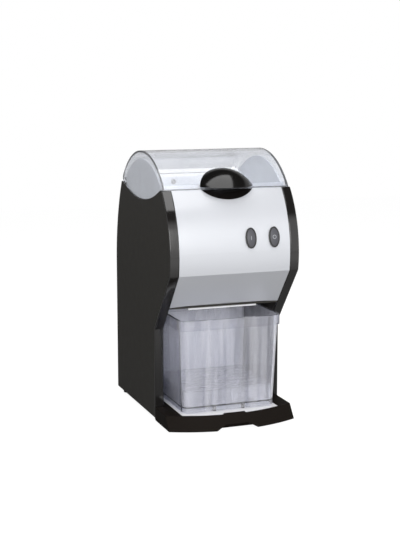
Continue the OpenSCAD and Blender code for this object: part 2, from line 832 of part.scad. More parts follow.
module hopper_side() {
    intersection() {
        side_floor();
        slab(0, basin_x) basin_outline(0);
    }
    // upright side of the trough
    slab(basin_x - hopper_t, basin_x) difference() {
        intersection() {
            basin_outline(0);
            band(side_slope_z, far);
        }
        disc_at(cradle_axis, cradle_r - seat - hopper_t);
    }
    // ledge that lies on the casing's dished edge
    slab(basin_x - hopper_t, cheek_out) difference() {
        intersection() {
            disc_at(cradle_axis, cradle_r - seat);
            disc_at(cheek_axis, cheek_r);
            basin_length();
        }
        disc_at(cradle_axis, cradle_r - seat - hopper_t);
    }
    // cheek that stands up inside the lid's end
    slab(cheek_out - hopper_t, cheek_out) intersection() {
        disc_at(cheek_axis, cheek_r);
        disc_at(cradle_axis, cradle_r - seat);
        basin_length();
    }
}

module hopper() color(pale_grey) difference() {
    union() {
        slab(-basin_x, basin_x) basin_sheet();
        // its front and rear rims carry on over the ledges
        slab(-cheek_out, cheek_out) intersection() {
            basin_sheet();
            disc_at(cradle_axis, cradle_r - seat);
            band(seam_z - cradle_drop, far);
        }
        for (s = [-1, 1]) on_side(s) hopper_side();
    }
    // open throat between the side floors
    translate([-throat_half, throat_front + hopper_t, 0])
        cube([2 * throat_half, throat_back - throat_front - 2 * hopper_t, throat_z + throat_trim]);
    for (s = [-1, 1]) on_side(s) translate([throat_half + hopper_t, throat_front - over, 0])
        cube([far, throat_back - throat_front + 2 * over, throat_z - throat_trim]);
}

// ---------- crusher ----------

shroud_half = chamber_half - 0.1;
shroud_front_angles = [179.9, 232];
shroud_rear_angles = [-62, -34];
bearing_screw_angles = [30, 150, 270];
bearing_screw_pcr = (bearing_r + bearing_flange_r) / 2 + 0.5;
bearing_screw_head_r = 3.5;
bearing_screw_spots = [for (a = bearing_screw_angles) rotor_axis + polar(bearing_screw_pcr, a)];
bearing_in = 0.5;    // from the chamber's side to the bearing's end
flange_x = chamber_half + plate_t + bearing_flange_t;
rod_r = 3;
rod_end = 6;
rod_nut_r = 5.5;
rod_nut_h = 4.5;
rod_reach = [[-40, -36], [42, -34], [-54, 12]];
rod_spots = [for (p = rod_reach) rotor_axis + p];
plate_toe = [44, 22];
plate_toe_y = rotor_axis.x - plate_toe[0];
plate_foot_l = 32;
plate_foot_y = rotor_axis.x - plate_foot_l;
plate_screw_reach = [-22, 38];
plate_screw_y = [for (y = plate_screw_reach) rotor_axis.x + y];
plate_screw_edge = 5;
plate_screw_x = chamber_half + plate_foot - plate_screw_edge;
comb_bar_y = rotor_axis.x + chamber_r;
comb_bar_low = -24;
comb_bar_h = 56;
comb_tip_r = drum_r + 4;
comb_screw_r = 1.5;
comb_thread = 9;
comb_screw_edge = 8;
comb_screw_z = [for (z = [comb_screw_edge, comb_bar_h - comb_screw_edge]) rotor_axis.y + comb_bar_low + z];
comb_screw_spots = [for (z = comb_screw_z) [comb_bar_y + bar_t / 2, z]];
// a finger's lower and upper edge at its root and its tip, and the bend of its upper edge
finger_root = [-20, 20];
finger_mid = [8, 12];
finger_tip = [-8, 6];
drum_end = 4;        // from the chamber's side to the drum's end
disc_hub = 7;        // of a toothed disc round the drum
tooth_tip = 8;       // from a tooth's radius forward to its tip
shaft_end = wall_x - 1.2;
shaft_tail = 10;
shoulder_h = 2.5;
shoulder_l = 3;
shoulder_x = chamber_half - bearing_in;
ring_x = flange_x + 0.4;
ring_t = 1;
ring_h = 3;
groove_h = 0.6;

module crusher_plate(side) color(zinc) on_side(side) difference() {
    union() {
        slab(chamber_half, chamber_half + plate_t) polygon([
            [plate_toe_y, deck_top], [plate_front, deck_top + plate_toe[1]],
            [plate_front, plate_top - plate_corner], [plate_front + plate_corner, plate_top],
            [plate_back - plate_corner, plate_top], [plate_back, plate_top - plate_corner],
            [plate_back, deck_top]]);
        // foot that is screwed to the deck
        translate([chamber_half, plate_foot_y, deck_top])
            cube([plate_foot, plate_back - plate_foot_y, plate_foot_t]);
    }
    rod(rotor_axis, bearing_r + press, 0, far);
    for (p = rod_spots) rod(p, rod_r + press, 0, far);
    for (p = bearing_screw_spots) rod(p, screw_r + press, 0, far);
    for (p = comb_screw_spots) rod(p, comb_screw_r + press, 0, far);
    for (y = plate_screw_y) drill([plate_screw_x, y], screw_r + press);
}

// Part of a ring between two angles
module ring_sector(c, r0, r1, angles) difference() {
    intersection() {
        disc_at(c, r1);
        polygon(concat([c], arc_points(c, 2 * r1, angles[0], angles[1], 8)));
    }
    disc_at(c, r0);
}

module front_shroud() color(steel) slab(-shroud_half, shroud_half) {
    ring_sector(rotor_axis, chamber_r, chamber_r + shroud_t, shroud_front_angles);
    translate(rotor_axis - [chamber_r + shroud_t, 0]) square([shroud_t, plate_top - rotor_axis.y]);
}

module rear_shroud() color(steel) slab(-shroud_half, shroud_half)
    ring_sector(rotor_axis, chamber_r, chamber_r + shroud_t, shroud_rear_angles);

// Outline of one comb finger, as long as the rotor's drum lets it be
module finger_outline() difference() {
    translate(rotor_axis) polygon([
        [chamber_r + over, finger_root[0]], [chamber_r + over, finger_root[1]],
        comb_tip_r * [1, 0] + finger_mid, [0, finger_tip[1]], [0, finger_tip[0]]]);
    disc_at(rotor_axis, comb_tip_r);
    translate([rotor_axis.x - far, 0]) square([far, far]);
}

module fixed_comb() color(steel) {
    difference() {
        translate([-shroud_half, comb_bar_y, rotor_axis.y + comb_bar_low])
            cube([2 * shroud_half, bar_t, comb_bar_h]);
        for (s = [-1, 1], p = comb_screw_spots) on_side(s)
            rod(p, comb_screw_r + press, chamber_half - comb_thread - over, far);
    }
    for (k = [0:disc_n - 2]) {
        x = (k - (disc_n - 2) / 2) * disc_pitch;
        slab(x - finger_t / 2, x + finger_t / 2) finger_outline();
    }
}

module comb_bolts() color(steel) for (s = [-1, 1], p = comb_screw_spots) on_side(s) {
    rod(p, comb_screw_r, chamber_half - comb_thread, chamber_half + plate_t + over);
    rod(p, 2 * comb_screw_r, chamber_half + plate_t, chamber_half + plate_t + 2);
}

module tie_rods() color(steel) for (p = rod_spots) {
    rod(p, rod_r, -chamber_half - plate_t - rod_end, chamber_half + plate_t + rod_end);
    for (s = [-1, 1]) on_side(s) nut([chamber_half + plate_t, p.x, p.y], rod_nut_r, rod_nut_h);
}

module rotor_shaft() color(steel) difference() {
    union() {
        rod(rotor_axis, rotor_shaft_r, -chamber_half - plate_t - shaft_tail, shaft_end);
        // shoulder that locates the drum
        rod(rotor_axis, rotor_shaft_r + shoulder_h, shoulder_x - shoulder_l, shoulder_x);
    }
    // groove of the retaining ring
    slab(-ring_x - ring_t - 0.1, -ring_x) difference() {
        disc_at(rotor_axis, rotor_shaft_r + over);
        disc_at(rotor_axis, rotor_shaft_r - groove_h);
    }
}

module retaining_ring() color(steel) slab(-ring_x - ring_t - running, -ring_x - running) difference() {
    disc_at(rotor_axis, rotor_shaft_r + ring_h);
    disc_at(rotor_axis, rotor_shaft_r - groove_h + press);
    translate(rotor_axis - [ring_h + 1, far]) square([2 * (ring_h + 1), far]);
}

module rotor_drum() color(steel) difference() {
    rod(rotor_axis, drum_r, -chamber_half + drum_end, chamber_half - drum_end);
    rod(rotor_axis, rotor_shaft_r + press, -far, far);
}

// One toothed disc: hooked teeth that lead in the turning direction
module disc_outline(turn) translate(rotor_axis) rotate(turn) difference() {
    union() {
        circle(drum_r + disc_hub);
        for (k = [0:tooth_n - 1]) rotate(k * 360 / tooth_n) polygon([
            [-drum_r / 2, 0], [-6, drum_r + 9], [2, tooth_r - 1],
            [tooth_tip, sqrt(tooth_r * tooth_r - tooth_tip * tooth_tip) - 0.2],
            [11, drum_r + 14], [drum_r + 3, 4]]);
    }
    circle(drum_r + press);
}

module rotor_discs() color(steel) for (k = [0:disc_n - 1]) {
    x = (k - (disc_n - 1) / 2) * disc_pitch;
    slab(x - disc_t / 2, x + disc_t / 2) disc_outline(k * 720 / tooth_n / disc_n);
}

module bearing(side) color(zinc) on_side(side) difference() {
    union() {
        rod(rotor_axis, bearing_r, chamber_half + bearing_in, chamber_half + plate_t + over);
        rod(rotor_axis, bearing_flange_r, chamber_half + plate_t, flange_x);
    }
    rod(rotor_axis, rotor_shaft_r + running, 0, far);
    for (p = bearing_screw_spots) rod(p, screw_r + press, 0, far);
}

module bearing_screws() color(steel) for (s = [-1, 1], p = bearing_screw_spots) on_side(s) {
    rod(p, screw_r, chamber_half + over, flange_x + over);
    rod(p, bearing_screw_head_r, flange_x, flange_x + 2);
}

// ---------- drive ----------

fan_gap = 6;
fan_x = motor_x - motor_l - fan_gap;
fan_t = 1.5;
fan_n = 9;
fan_hub_r = 14;
fan_hub_l = 10;
fan_r = motor_r - 6;
blade = [8.5, fan_r - 14, 1.6];
fin_n = 8;
fin_w = 4;
fin_h = 4;
fin_pitch = (motor_l - 28) / (fin_n - 1);
boss_r = 18;
boss_l = 3;
motor_screw_r = 2.5;
motor_screw_pcr = 30;
motor_screw_spots = [for (a = [45:90:315]) motor_axis + polar(motor_screw_pcr, a)];
motor_thread = 10;
motor_nut_r = 4.6;
motor_nut_h = 4;
bracket_l = 31;
bracket_foot_t = 3;
gusset_t = 3;
gusset_h = 60;
bracket_screw_x = [12, 24];
bracket_screw_y = 30;
bracket_screws = [for (x = bracket_screw_x, s = [-1, 1]) [motor_x + x, motor_axis.x + s * bracket_screw_y]];
rim_web = 5;         // of the pulley left round its openings
web_n = 5;

// Grooved wheel; with a hub its web is opened by round holes
module pulley(p, pitch_r, bore_r, hub_r) difference() {
    union() {
        rod(p, pitch_r - belt_t / 2, pulley_x - pulley_w / 2, pulley_x + pulley_w / 2);
        for (s = [-1, 1]) translate([s * (pulley_w - flange_t) / 2, 0, 0])
            rod(p, pitch_r + flange_h, pulley_x - flange_t / 2, pulley_x + flange_t / 2);
    }
    rod(p, bore_r + press, 0, far);
    if (hub_r > 0) for (k = [0:web_n - 1])
        rod(p + polar((pitch_r + hub_r) / 2 - 1, k * 360 / web_n), (pitch_r - hub_r) / 2 - rim_web, 0, far);
}

module driven_pulley() color(zinc) pulley(rotor_axis, big_pulley_r, rotor_shaft_r, rotor_shaft_r + 5);
module motor_pulley() color(zinc) pulley(motor_axis, small_pulley_r, motor_shaft_r, 0);

// Loop round both pulleys, its inner face raised by grow
module belt_loop(grow) {
    v = motor_axis - rotor_axis;
    r0 = big_pulley_r - belt_t / 2 + grow;
    r1 = small_pulley_r - belt_t / 2 + grow;
    lean = atan2(v.y, v.x);
    turn = acos((r0 - r1) / norm(v));
    polygon(concat(arc_points(rotor_axis, r0, lean + turn, lean + 360 - turn, 40),
        arc_points(motor_axis, r1, lean - turn, lean + turn, 20)));
}

module drive_belt() color(rubber_black)
    slab(pulley_x - belt_w / 2 + seat, pulley_x + belt_w / 2 - seat) difference() {
        belt_loop(belt_t);
        belt_loop(seat);
    }

module motor_shaft() color(steel) rod(motor_axis, motor_shaft_r, fan_x - fan_hub_l - 4, shaft_end);

module motor_housing() color(zinc) difference() {
    union() {
        rod(motor_axis, motor_r - fin_h, motor_x - motor_l, motor_x);
        for (k = [0:fin_n - 1]) translate([motor_x - 16 - k * fin_pitch, 0, 0])
            rod(motor_axis, motor_r, -fin_w / 2, fin_w / 2);
        rod(motor_axis, boss_r, motor_x - over, motor_x + boss_l);
    }
    rod(motor_axis, motor_shaft_r + running, -far, far);
    for (p = motor_screw_spots) rod(p, motor_screw_r + press, motor_x - motor_thread - 2, far);
}

// Angle plate with a gusset at each side
module motor_bracket() color(zinc) difference() {
    union() {
        translate([motor_x, motor_axis.x - motor_r, base_top])
            cube([bracket_t, 2 * motor_r, motor_z + motor_r - fin_h - base_top]);
        translate([motor_x, motor_axis.x - motor_r, base_top]) cube([bracket_l, 2 * motor_r, bracket_foot_t]);
        for (y = [-motor_r, motor_r - gusset_t]) translate([motor_x, motor_axis.x + y + gusset_t, base_top])
            rotate([90, 0, 0]) linear_extrude(gusset_t) polygon([[0, 0], [bracket_l - 2, 0],
                [bracket_l - 2, 2 * bracket_foot_t], [bracket_t, gusset_h], [0, gusset_h]]);
    }
    rod(motor_axis, boss_r + press, 0, far);
    for (p = motor_screw_spots) rod(p, motor_screw_r + press, 0, far);
    for (p = bracket_screws) drill(p, motor_screw_r + press);
}

module motor_screws() color(steel) {
    for (p = motor_screw_spots) {
        rod(p, motor_screw_r, motor_x - motor_thread, motor_x + bracket_t + over);
        nut([motor_x + bracket_t, p.x, p.y], motor_nut_r, motor_nut_h);
    }
    for (p = bracket_screws) {
        translate([p.x, p.y, foot_h - over])
            cylinder(r = motor_screw_r, h = base_t + bracket_foot_t + 2 * over);
        translate([p.x, p.y, base_top + bracket_foot_t]) cylinder(r = motor_nut_r, h = motor_nut_h, $fn = 6);
    }
}

module cooling_fan() color(grained_black) difference() {
    union() {
        rod(motor_axis, fan_hub_r, fan_x - fan_hub_l, fan_x);
        rod(motor_axis, fan_r, fan_x - fan_t, fan_x);
        for (k = [0:fan_n - 1]) translate([fan_x, motor_axis.x, motor_axis.y]) rotate([k * 360 / fan_n, 0, 0])
            translate([-blade.x - fan_t / 2, fan_hub_r - 2, -blade.z / 2]) cube(blade);
    }
    rod(motor_axis, motor_shaft_r + press, -far, far);
}

// ---------- electrics ----------

cap_spot = [40, niche_y + 34];
cap_clip = [2, 12];  // thickness and height of the clip round the capacitor's foot
cap_tag = [6, 1, 9];
board_y = niche_y + 18;
board_z = deck_top + 30;
board_t = 1.6;
board_x = standoff_h - trim_x;
board_edge = 6;      // from the board's edge to its corner holes
board_corners = [for (y = [board_edge, board_l - board_edge], z = [board_edge, board_h - board_edge])
    [board_y + y, board_z + z]];
// relay, transformer and terminal strip, each as [y, z, depth, length, height]
board_parts = [[14, 14, 15, 20, 16], [42, 12, 18, 24, 28], [14, 38, 10, 18, 12]];
standoff_r = 3.5;
standoff_pin_r = 1.5;
block_spot = [20.5 - trim_x, back_y - 46, base_top];
block_poles = 3;

module capacitor() color(nylon_white) translate([cap_spot.x, cap_spot.y, deck_top]) {
    cylinder(r = cap_r, h = cap_h);
    cylinder(r = cap_r + cap_clip[0], h = cap_clip[1]);
    for (s = [-1, 1]) translate([s * cap_tag.x - cap_tag.x / 2, -cap_tag.y / 2, cap_h - over]) cube(cap_tag);
}

module board_standoffs() color(nylon_white) for (p = board_corners) {
    rod(p, standoff_r, -trim_x, board_x);
    rod(p, standoff_pin_r, -trim_x, board_x + board_t + standoff_pin_r);
}

module control_board() color(board_green) difference() {
    translate([board_x, board_y, board_z]) {
        cube([board_t, board_l, board_h]);
        for (p = board_parts) translate([board_t / 2, p[0], p[1]]) cube([p[2], p[3], p[4]]);
    }
    for (p = board_corners) rod(p, standoff_pin_r + press, -far, 0);
}

module terminal_block() color(nylon_white) translate(block_spot) difference() {
    cube([block_l, block_w, block_h]);
    for (k = [1:block_poles]) translate([(k - 0.5) * block_l / block_poles, block_w / 2, block_h / 2])
        cylinder(r = block_w / 5, h = block_h);
}

// ---------- lid ----------

handle_base_z = seam_z + 4;
handle_base_angle = asin((handle_base_z - lid_axis.y) / lid_r);
handle_ring_r = (handle_half * handle_half + handle_rise * handle_rise) / (2 * handle_rise);
handle_ball_r = (handle_ring_r * handle_ring_r + handle_bulge * handle_bulge) / (2 * handle_bulge);
handle_low = (handle_ring_r - handle_rise) / lid_r * 180 / PI;
handle_angle = handle_base_angle - handle_low;
handle_centre = lid_axis + (lid_r + handle_bulge - handle_ball_r) * [-cos(handle_angle), sin(handle_angle)];
lid_band_t = 2;
roll_r = hinge_r - cradle_gap / 2;
magnet_x = 9.5 - trim_x;
magnet_angle = 45.5;
magnet_r = 4;
magnet_h = 3;
switch_body = [24, 8.5, 7];
pin_head = 1.5;

// Open sheet between the lid's two ends, with its band and its hinge roll
module lid_shell() {
    difference() {
        intersection() {
            cap_outline();
            band(lid_foot_z, far);
        }
        disc_at(lid_axis, lid_r - lid_wall);
        disc_at(hinge_axis, hinge_r - lid_wall);
    }
    // thicker band along the front edge
    intersection() {
        cap_outline();
        band(lid_foot_z, lid_foot_z + lid_band);
        difference() {
            translate([-far, 0]) square([far + front_axis.x, far]);
            disc_at(lid_axis, lid_r - lid_wall - lid_band_t);
        }
    }
    // roll along the hinge
    intersection() {
        difference() {
            disc_at(hinge_axis, roll_r);
            disc_at(hinge_axis, hinge_r - lid_wall);
        }
        translate([hinge_axis.x, 0]) square([far, far]);
    }
}

module lid() color(clear) difference() {
    union() {
        slab(-cap_out, cap_out) lid_shell();
        for (s = [-1, 1]) on_side(s) {
            slab(cap_in, cap_out) cap_outline();
            // knuckle that turns on the hinge pin
            slab(knuckle_in, cap_in + over / 2) disc_at(hinge_axis, roll_r);
        }
    }
    for (s = [-1, 1]) on_side(s) {
        // gap in the shell for the hinge ear
        translate([roll_x, hinge_axis.x - hinge_r - 3, hinge_axis.y - 2 * hinge_r])
            cube([knuckle_in - roll_x, 4 * hinge_r, 4 * hinge_r]);
        rod(hinge_axis, hinge_pin_r + running, 0, cap_in);
    }
}

module handle_ball(r) translate([0, handle_centre.x, handle_centre.y])
    rotate([0, 90, 0]) sphere(r, $fn = 240);

// Dished shell that stands on the lid's curved front
module lid_handle() color(gloss_black) intersection() {
    difference() {
        handle_ball(handle_ball_r);
        handle_ball(handle_ball_r - handle_t);
    }
    slab(-far / 2, far / 2) difference() {
        intersection() {
            band(handle_base_z, far);
            translate([-far, 0]) square([far + lid_axis.x, far]);
        }
        disc_at(lid_axis, lid_r + press);
    }
}

module lid_magnet() color(zinc)
    translate([magnet_x, lid_axis.x, lid_axis.y]) rotate([90 - magnet_angle, 0, 0])
        translate([0, 0, lid_r - lid_wall - magnet_h - skin]) cylinder(r = magnet_r, h = magnet_h);

module lid_switch() color(nylon_white)
    translate([magnet_x - switch_body.x / 4, basin_front - seat - switch_body.y, seam_z - switch_body.z - 3])
        cube(switch_body);

module hinge_pins() color(steel) for (s = [-1, 1]) on_side(s) {
    rod(hinge_axis, hinge_pin_r, trim_x - over, cap_in - 0.4);
    rod(hinge_axis, hinge_pin_r + pin_head, trim_x - running - 2, trim_x - running);
}

// ---------- drip tray ----------

tray_slope = tray_lean / (plate_z - tray_z);
lip_half = 20;
lip_back_r = bow_r - tray_lean - 3.5;
well_half = tray_half - tray_margin;
well_back = bin_back + 3;
well_front_r = bow_r - tray_lean - 4;
well_step = 3;       // of the ledge on which the drip plate lies
drip_fit = 0.4;
drip_pitch = [16, 21];
drip_cols = floor((well_half - 12) / drip_pitch.x);
drip_rows = 2;
notch_slope = 16;

// Solid bounded by the bowed, leaning front face
module tray_front(z1) translate([0, bow_axis_y, tray_z]) cylinder(
    r1 = bow_r, r2 = bow_r - tray_slope * (z1 - tray_z), h = z1 - tray_z, $fn = 360);

module tray_well(grow) intersection() {
    translate([-well_half - grow, front_y, 0])
        cube([2 * (well_half + grow), well_back + grow - front_y, far]);
    translate([0, bow_axis_y, 0]) cylinder(r = well_front_r + grow, h = far, $fn = 360);
}

// Finger notch under the lip, cut back to y
module tray_notch(y) translate([0, y, 0]) rotate([90, 0, 0]) linear_extrude(far) polygon([
    [-notch_half, -over], [-notch_half, tray_z], [notch_slope - notch_half, tray_z + notch_h],
    [notch_half - notch_slope, tray_z + notch_h], [notch_half, tray_z], [notch_half, -over]]);

// Pull lip in the middle of the front edge
module tray_lip() difference() {
    translate([0, front_y + far / 2, 0]) rotate([90, 0, 0]) linear_extrude(far) polygon([
        [-lip_half, plate_z - over], [-lip_half, plate_z], [-lip_half + lip_h, plate_z + lip_h],
        [lip_half - lip_h, plate_z + lip_h], [lip_half, plate_z], [lip_half, plate_z - over]]);
    translate([0, bow_axis_y, 0]) cylinder(r = lip_back_r, h = far, $fn = 360);
    translate([-far / 2, front_axis.x, 0]) cube(far);
}

module drip_tray() color(gloss_black) difference() {
    union() {
        intersection() {
            tray_front(plate_z + lip_h);
            union() {
                translate([-tray_half, front_y - over, tray_z])
                    cube([2 * tray_half, tray_back - front_y + over, plate_z - tray_z]);
                tray_lip();
            }
        }
        // tongue that lies in the niche
        translate([-tongue_half, tray_back - over, tongue_z])
            cube([2 * tongue_half, tongue_back - tray_back + over, plate_z - tongue_z]);
    }
    // melt-water well under the drip plate
    intersection() {
        translate([0, 0, well_floor_z]) tray_well(-well_step);
        translate([-far, -far, 0]) cube([2 * far, 2 * far, plate_z - drip_plate_t + press]);
    }
    translate([0, 0, plate_z - drip_plate_t]) tray_well(drip_fit);
    tray_notch(front_y + tray_lean);
}

module drip_plate() color(steel) difference() {
    intersection() {
        tray_well(0);
        translate([-far, -far, plate_z - drip_plate_t + press])
            cube([2 * far, 2 * far, drip_plate_t - press]);
    }
    for (r = [-drip_rows:drip_rows], k = [-drip_cols:drip_cols])
        translate([k * drip_pitch.x - drip_slot_l / 2, bin_mid + r * drip_pitch.y - drip_slot_w / 2, 0])
            cube([drip_slot_l, drip_slot_w, far]);
}

// ---------- ice container ----------

skim = 0.01;         // thickness of a layer between which a fine hull is drawn
bin_inner_z = bin_z + bin_floor + bin_wall;
bin_foot_r = 3;
bin_foot_inset = [25, 14];
bin_foot_spots = side_spots(bin_foot_inset.x, [bin_front + bin_foot_inset.y, bin_back - bin_foot_inset.y]);
grid_inset = bin_wall + slack;
grid_plate_t = 2;
grid_top = bin_inner_z + grid_h;
grid_pitch = [20, 18];
grid_size = bin_size(bin_z, grid_inset);
grid_reach = grid_size / 2 - [grid_slot_l / 2 + grid_t, grid_slot_w / 2 + grid_t];
grid_n = [floor(grid_reach.x / grid_pitch.x), floor(grid_reach.y / grid_pitch.y)];
drain = [10, 5];

function bin_inset(z) = bin_draft * (bin_top - z) / bin_h;
function bin_size(z, inset) = [bin_w, bin_d] - [2, 2] * (rim_step + bin_inset(z) + inset);

// Upright block with rounded corners round the container's middle
module bin_block(size, r, z, h) translate([0, bin_mid, z]) linear_extrude(h) rounded(size.x, size.y, r);

module bin_taper(z0, z1, inset) hull() {
    bin_block(bin_size(z0, inset), bin_corner - inset, z0, skim);
    bin_block(bin_size(z1, inset), bin_corner - inset, z1 - skim, skim);
}

module ice_container() color(clear) difference() {
    union() {
        bin_taper(bin_z, bin_top - over, 0, $fn = 48);
        bin_block([bin_w, bin_d], bin_corner + 2, bin_top - rim_h, rim_h, $fn = 48);
    }
    bin_taper(bin_inner_z, bin_top + over, bin_wall, $fn = 48);
    // recess under the floor
    bin_taper(bin_z - over, bin_z + bin_floor, bin_wall, $fn = 48);
}

module container_feet() color(rubber_black) for (p = bin_foot_spots)
    translate([p.x, p.y, plate_z + seat]) cylinder(r = bin_foot_r, h = bin_foot_h + bin_floor - press);

// Slotted plate on a skirt that keeps the ice above its melt water
module drain_grid() color(clear) difference() {
    bin_block(grid_size, bin_corner - grid_inset, bin_inner_z + seat, grid_h - seat);
    bin_block(grid_size - 2 * [grid_t, grid_t], bin_corner - grid_inset - grid_t, 0, grid_top - grid_plate_t);
    for (r = [-grid_n.y:grid_n.y], k = [-grid_n.x:grid_n.x])
        translate([k * grid_pitch.x - grid_slot_l / 2, bin_mid + r * grid_pitch.y - grid_slot_w / 2, 0])
            cube([grid_slot_l, grid_slot_w, far]);
    // drain openings in the skirt's lower edge
    for (s = [-1, 1]) {
        translate([s * grid_size.x / 4 - drain.x / 2, -far, 0])
            cube([drain.x, 2 * far, bin_inner_z + drain.y]);
        translate([-far, bin_mid + s * grid_size.y / 4 - drain.x / 2, 0])
            cube([2 * far, drain.x, bin_inner_z + drain.y]);
    }
}

base_plate();
rubber_feet();
base_screws();
chassis_side(-1);  // chassis_side_left
chassis_side(1);  // chassis_side_right
side_casing(-1);  // side_casing_left
side_casing(1);  // side_casing_right
front_trim(-1);  // front_trim_left
front_trim(1);  // front_trim_right
front_panel();
finger_scoop();
rear_cover();
rear_cover_screws();
cord_gland();
niche_back_plate();
niche_ceiling();
deck_plate();
deck_screws();
discharge_chute();
hopper();
crusher_plate(-1);  // crusher_plate_left
crusher_plate(1);  // crusher_plate_right
front_shroud();
rear_shroud();
fixed_comb();
comb_bolts();
tie_rods();
rotor_shaft();
rotor_drum();
rotor_discs();
retaining_ring();
bearing(-1);  // bearing_left
bearing(1);  // bearing_right
bearing_screws();
driven_pulley();
drive_belt();
motor_pulley();
motor_shaft();
motor_housing();
motor_bracket();
motor_screws();
cooling_fan();
capacitor();
control_board();
board_standoffs();
terminal_block();
lid();
lid_handle();
lid_magnet();
lid_switch();
hinge_pins();
push_button(0);  // start_button
push_button(1);  // stop_button
button_bezels();
switch_blocks();
drip_tray();
drip_plate();
ice_container();
container_feet();
drain_grid();
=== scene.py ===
import math

import bmesh
import bpy
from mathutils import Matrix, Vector


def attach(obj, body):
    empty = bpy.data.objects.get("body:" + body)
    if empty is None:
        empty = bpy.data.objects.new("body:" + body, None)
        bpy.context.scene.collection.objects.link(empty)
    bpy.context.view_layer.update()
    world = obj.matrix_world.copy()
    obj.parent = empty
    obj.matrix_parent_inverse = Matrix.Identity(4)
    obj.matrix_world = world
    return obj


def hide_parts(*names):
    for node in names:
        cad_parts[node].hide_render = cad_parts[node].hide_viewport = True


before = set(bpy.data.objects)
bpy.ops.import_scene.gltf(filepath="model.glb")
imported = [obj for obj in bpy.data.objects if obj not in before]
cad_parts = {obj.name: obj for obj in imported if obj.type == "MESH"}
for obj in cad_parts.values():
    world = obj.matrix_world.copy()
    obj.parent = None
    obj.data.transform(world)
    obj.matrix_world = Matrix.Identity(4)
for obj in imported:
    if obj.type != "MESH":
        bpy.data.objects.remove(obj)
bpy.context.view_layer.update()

MM = 0.001


# ---------- Studio ----------
# A white bench in a white room. The object itself is lit by a room that is bright in front, dimmer
# at the back and dark above, so that the soft boxes stand out on it as clean shapes.

def linear(hex_colour, alpha=1.0):
    """An sRGB hex colour, such as "d8dade", as linear RGBA."""
    parts = [int(hex_colour[i:i + 2], 16) / 255 for i in (0, 2, 4)]
    return tuple(c / 12.92 if c <= 0.04045 else ((c + 0.055) / 1.055) ** 2.4
                 for c in parts) + (alpha,)


def add(tree, kind, sockets=None, **settings):
    """Adds a node with its settings.

    Each socket is set to a value, or linked from another socket or from a node's first output.
    """
    made = tree.nodes.new(kind)
    for name, value in settings.items():
        setattr(made, name, value)
    for name, value in (sockets or {}).items():
        if isinstance(value, bpy.types.Node):
            value = value.outputs[0]
        if isinstance(value, bpy.types.NodeSocket):
            tree.links.new(value, made.inputs[name])
        else:
            made.inputs[name].default_value = value
    return made


def blank_material(name):
    material = bpy.data.materials.new(name)
    material.use_nodes = True
    material.node_tree.nodes.clear()
    return material, material.node_tree


def by_ray(tree, seen, mirrored, lighting):
    """A level for what is seen, also through clear plastic, one for reflections, one for light."""
    path = add(tree, "ShaderNodeLightPath")
    direct = add(tree, "ShaderNodeMath", {0: path.outputs["Is Camera Ray"],
                                          1: path.outputs["Is Transmission Ray"]},
                 operation="MAXIMUM")
    level = lighting
    for share, other in ((path.outputs["Is Glossy Ray"], mirrored), (direct, seen)):
        level = add(tree, "ShaderNodeMapRange", {"Value": share, "To Min": level, "To Max": other})
    return level


# The bench glows a little far in front of the object, and hardly at all close to it. Apart from the
# even white that is seen directly, this glow is painted light that lights the object and shows in
# its reflections, and its fading close to the object is painted shade.
bench_half, bench_seen = 3.0, 0.95
glow_far_y, glow_near_y = -1.2, -0.3
bench_lighting, bench_mirrored = (0.8, 0.0), (0.7, 0.1)

bench_white, tree = blank_material("matt_white_board")
lit = add(tree, "ShaderNodeBsdfDiffuse", {"Color": linear("7c7c7c")})
place = add(tree, "ShaderNodeTexCoord").outputs["Object"]
along = add(tree, "ShaderNodeSeparateXYZ", {"Vector": place}).outputs["Y"]
lighting, mirrored = [
    add(tree, "ShaderNodeMapRange", {"Value": along, "From Min": glow_far_y,
                                     "From Max": glow_near_y, "To Min": far, "To Max": near})
    for far, near in (bench_lighting, bench_mirrored)]
own = add(tree, "ShaderNodeEmission", {
    "Color": linear("ffffff"), "Strength": by_ray(tree, bench_seen, mirrored, lighting)})
both = add(tree, "ShaderNodeAddShader", {0: lit, 1: own})
add(tree, "ShaderNodeOutputMaterial", {"Surface": both})

bench_mesh = bpy.data.meshes.new("bench")
bench_mesh.from_pydata([(x * bench_half, y * bench_half, 0)
                        for x, y in ((-1, -1), (1, -1), (1, 1), (-1, 1))], [], [(0, 1, 2, 3)])
bench = bpy.data.objects.new("bench", bench_mesh)
bench_mesh.materials.append(bench_white)
bpy.context.scene.collection.objects.link(bench)

# The room's levels, by direction: its ceiling is dim above these heights, and its walls lose
# brightness from the front to the back.
ceiling_from, ceiling_full, ceiling_level = 0.48, 0.58, 0.1
wall_front_y, wall_back_y = -0.9, 0.5
back_lighting, back_mirrored = 0.2, 0.35

world = bpy.data.worlds.new("studio")
world.use_nodes = True
tree = world.node_tree
tree.nodes.clear()
way = add(tree, "ShaderNodeTexCoord").outputs["Generated"]
way = add(tree, "ShaderNodeSeparateXYZ", {"Vector": way})
ceiling = add(tree, "ShaderNodeMapRange", {
    "Value": way.outputs["Z"], "From Min": ceiling_from, "From Max": ceiling_full,
    "To Min": 1.0, "To Max": ceiling_level})
lighting, mirrored = [
    add(tree, "ShaderNodeMath", {0: ceiling, 1: add(tree, "ShaderNodeMapRange", {
        "Value": way.outputs["Y"], "From Min": wall_front_y, "From Max": wall_back_y,
        "To Min": 1.0, "To Max": level})}, operation="MULTIPLY")
    for level in (back_lighting, back_mirrored)]
room = add(tree, "ShaderNodeBackground", {
    "Color": linear("ffffff"), "Strength": by_ray(tree, 1.0, mirrored, lighting)})
add(tree, "ShaderNodeOutputWorld", {"Surface": room})
bpy.context.scene.world = world


